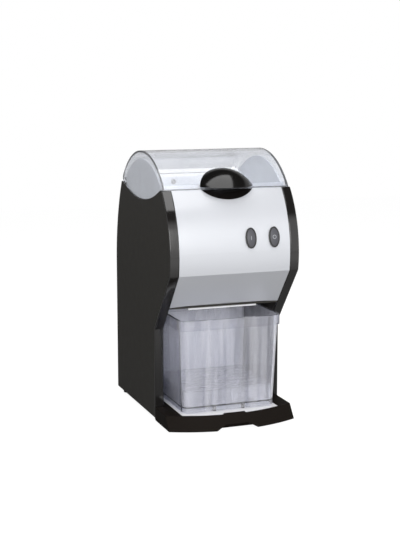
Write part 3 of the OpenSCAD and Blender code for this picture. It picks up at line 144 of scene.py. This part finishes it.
def soft_box(name, place, aim, width, height, power):
    lamp = bpy.data.lights.new(name, "AREA")
    lamp.shape = "RECTANGLE"
    lamp.size, lamp.size_y, lamp.energy = width, height, power
    holder = bpy.data.objects.new(name, lamp)
    holder.location = place
    holder.rotation_euler = (Vector(aim) - Vector(place)).to_track_quat("-Z", "Y").to_euler()
    bpy.context.scene.collection.objects.link(holder)


soft_box("overhead_box", (-0.21, -0.44, 1.5), (-0.21, -0.44, 0), 1.38, 1.38, 15)
soft_box("front_box", (-0.3, -2.5, 0.95), (0, 0, 0.15), 2.0, 1.1, 40)
soft_box("right_box", (1.5, -0.9, 0.7), (0, 0, 0.22), 0.5, 1.1, 4)

# The camera stands to the left of the front and looks slightly down.
camera_place = (-0.6865, -1.8398, 0.5691)
camera_turn, camera_dip = 20.24, 9.36
camera_focal = 79.16
camera = bpy.data.cameras.new("camera")
camera.sensor_fit, camera.sensor_width, camera.lens = "AUTO", 36, camera_focal
viewer = bpy.data.objects.new("camera", camera)
viewer.location = camera_place
viewer.rotation_euler = (math.radians(90 - camera_dip), 0, math.radians(-camera_turn))
bpy.context.scene.collection.objects.link(viewer)
bpy.context.scene.camera = viewer
bpy.context.scene.view_settings.view_transform = "Standard"


# ---------- Side casings and side plates ----------
# Moulded ABS shells with a spark-eroded grain, screwed over flat side plates of the same stuff.
# The grain breaks highlights into a soft, almost chalky sheen.

plastic_ior = 1.53
grain_relief = 0.1 * MM


def plastic(name, colour, roughness, variation=0.04, grain_mm=None, grain_depth=0.0,
            mottle_mm=14.0, gloss=0.5):
    """A moulded plastic: its colour drifts slightly, and its skin may carry an eroded grain."""
    material, tree = blank_material(name)
    place = add(tree, "ShaderNodeTexCoord").outputs["Object"]
    mottle = add(tree, "ShaderNodeTexNoise", {"Vector": place, "Scale": 1 / (mottle_mm * MM),
                                              "Detail": 3.0})
    base = linear(colour)
    dark = tuple(c * (1 - variation) for c in base[:3]) + (1,)
    light = tuple(min(1, c * (1 + variation)) for c in base[:3]) + (1,)
    tint = add(tree, "ShaderNodeMix", {0: mottle, 6: dark, 7: light}, data_type="RGBA")
    worn = add(tree, "ShaderNodeMapRange", {"Value": mottle, "To Min": roughness * 0.9,
                                            "To Max": min(1.0, roughness * 1.1)})
    shader = add(tree, "ShaderNodeBsdfPrincipled", {
        "Base Color": tint.outputs[2], "Roughness": worn, "IOR": plastic_ior,
        "Specular IOR Level": gloss})
    if grain_mm:
        grain = add(tree, "ShaderNodeTexVoronoi", {"Vector": place,
                                                   "Scale": 1 / (grain_mm * MM)})
        bump = add(tree, "ShaderNodeBump", {"Height": grain.outputs["Distance"],
                                            "Strength": grain_depth, "Distance": grain_relief})
        tree.links.new(bump.outputs[0], shader.inputs["Normal"])
    add(tree, "ShaderNodeOutputMaterial", {"Surface": shader})
    return material


def paint(material, *names):
    """Gives CAD nodes their real material."""
    for name in names:
        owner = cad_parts[name]
        owner.data.materials.clear()
        owner.data.materials.append(material)


def as_evaluated(piece):
    """The piece's mesh as its modifiers leave it, which are then removed."""
    mesh = bpy.data.meshes.new_from_object(
        piece.evaluated_get(bpy.context.evaluated_depsgraph_get()))
    piece.modifiers.clear()
    piece.data = mesh
    return mesh


merge_gap = 0.002 * MM
flat_enough = math.radians(0.5)
round_segments = 3


def dressed(name, material, edge_mm, body="machine", sharp=30):
    """A copy of a CAD node whose hard edges have the small round that a mould or press leaves."""
    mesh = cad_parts[name].data.copy()
    merged = bmesh.new()
    merged.from_mesh(mesh)
    bmesh.ops.remove_doubles(merged, verts=merged.verts, dist=merge_gap)
    bmesh.ops.dissolve_limit(merged, angle_limit=flat_enough, verts=merged.verts,
                             edges=merged.edges)
    merged.to_mesh(mesh)
    merged.free()
    mesh.shade_smooth()
    mesh.set_sharp_from_angle(angle=math.radians(sharp))
    piece = bpy.data.objects.new(name + "_finished", mesh)
    bpy.context.scene.collection.objects.link(piece)
    rounds = piece.modifiers.new("broken edges", "BEVEL")
    rounds.width, rounds.segments = edge_mm * MM, round_segments
    rounds.limit_method, rounds.angle_limit = "ANGLE", math.radians(sharp)
    flatter = piece.modifiers.new("flat faces stay flat", "WEIGHTED_NORMAL")
    flatter.keep_sharp = True
    finished = as_evaluated(piece)
    finished.materials.clear()
    finished.materials.append(material)
    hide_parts(name)
    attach(piece, body)


# The real grain is finer than 1 mm. It is drawn that coarse to show.
eroded_abs = plastic("eroded_black_abs", "2e2c28", 0.6, variation=0.12, grain_mm=1.0,
                     grain_depth=0.45, gloss=0.3)
for side in ("left", "right"):
    dressed(f"side_casing_{side}", eroded_abs, 0.8)
paint(eroded_abs, "chassis_side_left", "chassis_side_right", "niche_ceiling")


# ---------- Front trims ----------
# Two glossy ABS mouldings that follow the curved front from the lid down to the bench, polished
# in the mould, so that they show the soft boxes as long clean streaks.

polished_abs = plastic("polished_black_abs", "12100f", 0.1, variation=0.1, mottle_mm=40,
                       gloss=0.8)
for side in ("left", "right"):
    dressed(f"front_trim_{side}", polished_abs, 1.2)


# ---------- Front panel ----------
# A pressed sheet under a satin silver lacquer and a clear coat. The aluminium flake in the lacquer
# gives a soft metallic sheen. Its sparkle is finer than the 0.5 mm that it is drawn at to show.

flake_relief = 0.02 * MM


def lacquer(name, colour, roughness, flake_mm):
    material, tree = blank_material(name)
    place = add(tree, "ShaderNodeTexCoord").outputs["Object"]
    flake = add(tree, "ShaderNodeTexVoronoi", {
        "Vector": place, "Scale": 1 / (flake_mm * MM)}).outputs["Color"]
    base = linear(colour)
    dark = tuple(c * 0.96 for c in base[:3]) + (1,)
    tint = add(tree, "ShaderNodeMix", {0: flake, 6: dark, 7: base}, data_type="RGBA")
    rough = add(tree, "ShaderNodeMapRange", {"Value": flake, "To Min": roughness - 0.03,
                                             "To Max": roughness + 0.03})
    bump = add(tree, "ShaderNodeBump", {"Height": flake, "Strength": 0.06,
                                        "Distance": flake_relief})
    shader = add(tree, "ShaderNodeBsdfPrincipled", {
        "Base Color": tint.outputs[2], "Roughness": rough, "Normal": bump,
        "Metallic": 0.2, "Coat Weight": 1.0, "Coat Roughness": 0.14})
    add(tree, "ShaderNodeOutputMaterial", {"Surface": shader})
    return material


silver_lacquer = lacquer("satin_silver_lacquer", "bfc1c6", 0.45, 0.5)
dressed("front_panel", silver_lacquer, 0.7)


# ---------- Finger scoop ----------
# A black ABS dish let into the panel's top edge, so that fingertips reach under the lid's handle.
# It comes from a polished mould, like the trims.

dressed("finger_scoop", polished_abs, 0.4)


# ---------- Buttons ----------
# Two oval push buttons of satin grey plastic, crowned, in glossy black bezels. A bar for start and
# a ring for stop are pad-printed on them in pale ink.

button_plastic = plastic("satin_grey_abs", "3e3e44", 0.38, variation=0.06)
pale_ink = plastic("pale_marking_ink", "9a9ca2", 0.5)
paint(polished_abs, "button_bezels")
for side in ("start", "stop"):
    dressed(f"{side}_button", button_plastic, 0.6, body=f"{side}_button")

button_lean = math.radians(10.5)
out_of_panel = Vector((0, -math.cos(button_lean), math.sin(button_lean)))
up_panel = Vector((0, math.sin(button_lean), math.cos(button_lean)))


def crown_spot(name):
    """The middle of a button's crowned face, from the button's own corners."""
    corners = [vertex.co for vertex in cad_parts[name].data.vertices]
    apex = max(corner.dot(out_of_panel) for corner in corners)
    across = [corner.x for corner in corners]
    along = [corner.dot(up_panel) for corner in corners]
    return (Vector(((min(across) + max(across)) / 2, 0, 0)) + out_of_panel * apex
            + up_panel * (min(along) + max(along)) / 2)


def geometry_tree(name, inputs):
    """A Geometry Nodes tree with named inputs of the given kinds, and its input sockets."""
    tree = bpy.data.node_groups.new(name, "GeometryNodeTree")
    for title, kind in {"Geometry": "Geometry", **inputs}.items():
        tree.interface.new_socket(title, in_out="INPUT", socket_type=f"NodeSocket{kind}")
    tree.interface.new_socket("Geometry", in_out="OUTPUT", socket_type="NodeSocketGeometry")
    return tree, add(tree, "NodeGroupInput").outputs


def end_tree(tree, geometry, material):
    real = add(tree, "GeometryNodeRealizeInstances", {"Geometry": geometry})
    coated = add(tree, "GeometryNodeSetMaterial", {"Geometry": real, "Material": material})
    add(tree, "NodeGroupOutput", {"Geometry": coated})


def grown(name, tree, points, edges, sizes, body):
    """A piece that a tree grows on loose points and edges."""
    start = bpy.data.meshes.new(name + "_path")
    start.from_pydata(points, edges, [])
    piece = bpy.data.objects.new(name, start)
    bpy.context.scene.collection.objects.link(piece)
    growth = piece.modifiers.new("growth", "NODES")
    growth.node_group = tree
    for item in tree.interface.items_tree:
        if item.in_out == "INPUT" and item.name in sizes:
            growth[item.identifier] = sizes[item.name]
    mesh = as_evaluated(piece)
    if mesh.materials[0] is None:
        mesh.materials.pop(index=0)
    mesh.shade_smooth()
    mesh.set_sharp_from_angle(angle=math.radians(30))
    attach(piece, body)
    return piece


# A line of ink: the path sinks with the crown, a flat rectangle follows it, and the whole leans
# back with the panel.
mark_tree, given = geometry_tree("printed_mark", {
    "Line Width": "Float", "Ink Height": "Float", "Crown Radius": "Float",
    "Place": "Vector", "Lean": "Float"})
here = add(mark_tree, "GeometryNodeInputPosition").outputs[0]
reach = add(mark_tree, "ShaderNodeVectorMath", {0: here, 1: here}, operation="DOT_PRODUCT")
twice = add(mark_tree, "ShaderNodeMath", {0: given["Crown Radius"], 1: -2.0},
            operation="MULTIPLY")
sag = add(mark_tree, "ShaderNodeMath", {0: reach.outputs["Value"], 1: twice}, operation="DIVIDE")
sunk = add(mark_tree, "GeometryNodeSetPosition", {
    "Geometry": given["Geometry"], "Offset": add(mark_tree, "ShaderNodeCombineXYZ", {"Z": sag})})
path = add(mark_tree, "GeometryNodeMeshToCurve", {"Mesh": sunk})
upright = add(mark_tree, "GeometryNodeSetCurveNormal", {"Curve": path}, mode="Z_UP")
nib = add(mark_tree, "GeometryNodeCurvePrimitiveQuadrilateral", {
    "Width": given["Line Width"], "Height": given["Ink Height"]})
line = add(mark_tree, "GeometryNodeCurveToMesh", {"Curve": upright, "Profile Curve": nib,
                                                  "Fill Caps": True})
leaning = add(mark_tree, "ShaderNodeCombineXYZ", {"X": given["Lean"]})
laid = add(mark_tree, "GeometryNodeTransform", {
    "Geometry": line, "Translation": given["Place"], "Rotation": leaning})
end_tree(mark_tree, laid, pale_ink)

line_w, ink_t, crown_r = 0.9 * MM, 0.24 * MM, 80 * MM
bar_half, bar_steps = 3.2 * MM, 8
ring_r, ring_steps = 2.8 * MM, 32
bar = [(0, bar_half * (2 * k / bar_steps - 1), 0) for k in range(bar_steps + 1)]
turns = [2 * math.pi * k / ring_steps for k in range(ring_steps)]
ring = [(ring_r * math.cos(turn), ring_r * math.sin(turn), 0) for turn in turns]
marks = {"start": (bar, [(k, k + 1) for k in range(bar_steps)]),
         "stop": (ring, [(k, (k + 1) % ring_steps) for k in range(ring_steps)])}
for side, (points, edges) in marks.items():
    grown(f"{side}_mark", mark_tree, points, edges, {
        "Line Width": line_w, "Ink Height": ink_t, "Crown Radius": crown_r,
        "Place": crown_spot(f"{side}_button"), "Lean": math.pi / 2 - button_lean,
    }, f"{side}_button")


# ---------- Lid ----------
# Clear SAN plastic, injection moulded: a curved shell closed by two flat ends. Where it is looked
# at edge-on it turns to a smoky blue grey.

san_ior = 1.56
wave_stretch = 25
wave_relief = 1 * MM


def clear_plastic(name, colour, roughness, passes, clearness, depth_tint, density,
                  wave_mm, wave_depth, wave_haze):
    """Moulded clear plastic with a slight haze, which darkens where it is looked at edge-on.

    It has faint waves and streaks of haze along the way it flowed in its mould. Most of a lamp's
    light passes straight through, so that what is inside stays lit.
    """
    material, tree = blank_material(name)
    place = add(tree, "ShaderNodeTexCoord").outputs["Object"]
    across = 1 / (wave_mm * MM)
    flow = add(tree, "ShaderNodeMapping", {"Vector": place,
                                           "Scale": (across, across, across / wave_stretch)})
    waves = add(tree, "ShaderNodeTexNoise", {"Vector": flow, "Scale": 1.0, "Detail": 1.0})
    bump = add(tree, "ShaderNodeBump", {"Height": waves, "Strength": wave_depth,
                                        "Distance": wave_relief})
    skin = add(tree, "ShaderNodeMapRange", {"Value": waves, "To Min": roughness * 0.5,
                                            "To Max": roughness * 1.5})
    clear = add(tree, "ShaderNodeMapRange", {
        "Value": waves, "From Min": 0.35, "From Max": 0.65,
        "To Min": clearness - wave_haze, "To Max": clearness + wave_haze})
    shader = add(tree, "ShaderNodeBsdfPrincipled", {
        "Base Color": linear(colour), "Roughness": skin, "IOR": san_ior,
        "Transmission Weight": clear, "Normal": bump})
    straight = add(tree, "ShaderNodeBsdfTransparent", {"Color": linear(passes)})
    path = add(tree, "ShaderNodeLightPath")
    mix = add(tree, "ShaderNodeMixShader", {0: path.outputs["Is Shadow Ray"], 1: shader,
                                            2: straight})
    body = add(tree, "ShaderNodeVolumeAbsorption", {"Color": linear(depth_tint),
                                                    "Density": density})
    add(tree, "ShaderNodeOutputMaterial", {"Surface": mix, "Volume": body})
    return material


lid_san = clear_plastic("clear_san_plastic", "f4f5f7", 0.02, "eef0f4", 0.92, "a4a8b8", 30,
                        wave_mm=30, wave_depth=0.1, wave_haze=0.02)
dressed("lid", lid_san, 0.7, body="lid")


# ---------- Lid handle ----------
# A hollow dome of black ABS, welded over the lid's front edge as a grip. Its mould is polished
# less than the trims' are, so the soft box overhead shows on it as a soft patch.

handle_abs = plastic("semi_gloss_black_abs", "0c0b0a", 0.16, variation=0.1, mottle_mm=40,
                     gloss=0.55)
dressed("lid_handle", handle_abs, 1.0, body="lid")


# ---------- Hopper ----------
# A grey polypropylene moulding with sloping floors and two upright cheeks, which stand just inside
# the lid's ends. Its matt skin shows no clear reflection.

hopper_plastic = plastic("light_grey_polypropylene", "c8cbd0", 0.42, variation=0.05)
paint(hopper_plastic, "hopper")


# ---------- Niche ----------
# The bay that the container stands in: a back plate and the chute that drops the ice, both of
# pale matt polypropylene.

pale_plastic = plastic("pale_grey_polypropylene", "ececee", 0.45, variation=0.03)
paint(pale_plastic, "niche_back_plate", "discharge_chute")


# ---------- Crusher ----------
# Stainless steel, ground along the shaft's axis: toothed discs on a drum that turn through a fixed
# comb, in a frame of zinc-plated plates.

line_stretch = 40
line_relief = 0.05 * MM


def brushed(name, colour, roughness, along, line_mm=0.5):
    """A metal ground along one axis: fine lines, drawn at half a millimetre or more to show."""
    material, tree = blank_material(name)
    place = add(tree, "ShaderNodeTexCoord").outputs["Object"]
    stretch = [1 / (line_mm * MM)] * 3
    stretch["XYZ".index(along)] /= line_stretch
    lines = add(tree, "ShaderNodeMapping", {"Vector": place, "Scale": stretch})
    grind = add(tree, "ShaderNodeTexNoise", {"Vector": lines, "Scale": 1.0, "Detail": 4.0})
    base = linear(colour)
    dark = tuple(c * 0.82 for c in base[:3]) + (1,)
    tint = add(tree, "ShaderNodeMix", {0: grind, 6: dark, 7: base}, data_type="RGBA")
    rough = add(tree, "ShaderNodeMapRange", {"Value": grind, "To Min": roughness * 0.75,
                                             "To Max": roughness * 1.25})
    bump = add(tree, "ShaderNodeBump", {"Height": grind, "Strength": 0.15,
                                        "Distance": line_relief})
    shader = add(tree, "ShaderNodeBsdfPrincipled", {
        "Base Color": tint.outputs[2], "Roughness": rough, "Normal": bump, "Metallic": 1.0})
    add(tree, "ShaderNodeOutputMaterial", {"Surface": shader})
    return material


ground_stainless = brushed("ground_stainless_steel", "bfc1c4", 0.28, "X")
zinc_plate = brushed("bright_zinc_plated_steel", "b3b5b8", 0.36, "Z", line_mm=1.2)
cast_aluminium = brushed("die_cast_aluminium", "a9abad", 0.5, "X", line_mm=1.5)
paint(ground_stainless, "rotor_shaft", "rotor_drum", "rotor_discs", "retaining_ring",
      "fixed_comb", "front_shroud", "rear_shroud")
paint(zinc_plate, "crusher_plate_left", "crusher_plate_right", "tie_rods", "comb_bolts",
      "bearing_screws", "deck_plate", "deck_screws", "base_plate", "base_screws", "hinge_pins",
      "motor_bracket", "motor_screws", "motor_shaft")
paint(cast_aluminium, "bearing_left", "bearing_right", "driven_pulley", "motor_pulley",
      "motor_housing")


# ---------- Drive and electrics ----------
# A rubber belt, a moulded fan, and the white nylon, lacquered board and film-wrapped capacitor
# inside the back. The lid's magnet is a ferrite disc.

black_rubber = plastic("black_rubber", "161616", 0.75, variation=0.15, mottle_mm=5)
nylon = plastic("natural_nylon", "dcdad2", 0.4)
board_lacquer = plastic("green_board_lacquer", "1e5a34", 0.3, variation=0.1, mottle_mm=4)
ferrite = plastic("dark_grey_ferrite", "4c4d50", 0.6, variation=0.15, mottle_mm=3)
paint(black_rubber, "drive_belt", "rubber_feet", "container_feet", "cord_gland")
paint(eroded_abs, "cooling_fan")
paint(nylon, "capacitor", "board_standoffs", "terminal_block", "lid_switch", "switch_blocks")
paint(board_lacquer, "control_board")
paint(ferrite, "lid_magnet")


# ---------- Rear cover ----------
# A black sheet moulding with cooling slots, held by six countersunk screws of zinc-plated steel
# with cross recesses.

dressed("rear_cover", eroded_abs, 0.5)

screw_tree, given = geometry_tree("cross_recess_screws", {
    name: "Float" for name in ("Head Radius", "Head Depth", "Shank Radius", "Shank Length",
                               "Recess Width", "Recess Length", "Recess Depth")})


def lifted(geometry, height, share):
    """Geometry moved along Z by a share of a height."""
    rise = add(screw_tree, "ShaderNodeMath", {0: height, 1: share}, operation="MULTIPLY")
    shift = add(screw_tree, "ShaderNodeCombineXYZ", {"Z": rise})
    return add(screw_tree, "GeometryNodeTransform", {"Geometry": geometry, "Translation": shift})


# A screw stands with its head's face at zero: a cone, a shank from the middle of the head down,
# and two crossed bars cut out of the face.
screw_sides = 32
cone = add(screw_tree, "GeometryNodeMeshCone", {
    "Vertices": screw_sides, "Radius Top": given["Head Radius"],
    "Radius Bottom": given["Shank Radius"], "Depth": given["Head Depth"]})
shank = add(screw_tree, "GeometryNodeMeshCylinder", {
    "Vertices": screw_sides, "Radius": given["Shank Radius"], "Depth": given["Shank Length"]})
half_sunk = lifted(shank, given["Shank Length"], -0.5)
blank = add(screw_tree, "GeometryNodeMeshBoolean", operation="UNION", solver="EXACT")
for part in (lifted(cone, given["Head Depth"], -1.0), lifted(half_sunk, given["Head Depth"], -0.5)):
    screw_tree.links.new(part.outputs[0], blank.inputs["Mesh 2"])
deep = add(screw_tree, "ShaderNodeMath", {0: given["Recess Depth"], 1: 2.0}, operation="MULTIPLY")
cut = add(screw_tree, "GeometryNodeMeshBoolean", {"Mesh 1": blank}, operation="DIFFERENCE",
          solver="EXACT")
for first, second in (("Recess Width", "Recess Length"), ("Recess Length", "Recess Width")):
    size = add(screw_tree, "ShaderNodeCombineXYZ", {"X": given[first], "Y": given[second],
                                                    "Z": deep})
    bar_cutter = add(screw_tree, "GeometryNodeMeshCube", {"Size": size})
    screw_tree.links.new(bar_cutter.outputs["Mesh"], cut.inputs["Mesh 2"])
facing_back = add(screw_tree, "GeometryNodeTransform", {"Geometry": cut,
                                                        "Rotation": (-math.pi / 2, 0, 0)})
row = add(screw_tree, "GeometryNodeInstanceOnPoints", {"Points": given["Geometry"],
                                                       "Instance": facing_back})
end_tree(screw_tree, row, zinc_plate)

screw_x, screw_heights = 88.5 * MM, (30 * MM, 150 * MM, 225 * MM)
head_face = max(vertex.co.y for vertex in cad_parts["rear_cover_screws"].data.vertices)
screw_places = [(x, head_face, z) for x in (-screw_x, screw_x) for z in screw_heights]
rear_screws = grown("rear_cover_screws_finished", screw_tree, screw_places, [], {
    "Head Radius": 4 * MM, "Head Depth": 2 * MM, "Shank Radius": 2 * MM,
    "Shank Length": 10.9 * MM, "Recess Width": 0.9 * MM, "Recess Length": 4.4 * MM,
    "Recess Depth": 1.2 * MM}, "machine")
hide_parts("rear_cover_screws")


# ---------- Drip tray ----------
# A satin black ABS drawer with a bowed front, and a slotted plate of pale plastic that lies in it.
# Both are injection moulded.

satin_abs = plastic("satin_black_abs", "15100c", 0.6, variation=0.12, mottle_mm=25, gloss=0.08)
dressed("drip_tray", satin_abs, 1.0, body="tray")
dressed("drip_plate", pale_plastic, 0.3, body="tray")


# ---------- Ice container ----------
# A clear moulded bin with a raised rim band, small dark feet, and a clear grid that keeps the ice
# out of its melt water. Both are hazier than the lid, with streaks along the plastic's flow.

hazy_san = clear_plastic("hazy_san_plastic", "f4f4f6", 0.02, "f2f3f6", 0.86, "9094ae", 80,
                         wave_mm=12, wave_depth=0.3, wave_haze=0.08)
dressed("ice_container", hazy_san, 0.7, body="container", sharp=25)
dressed("drain_grid", hazy_san, 0.4, body="grid")
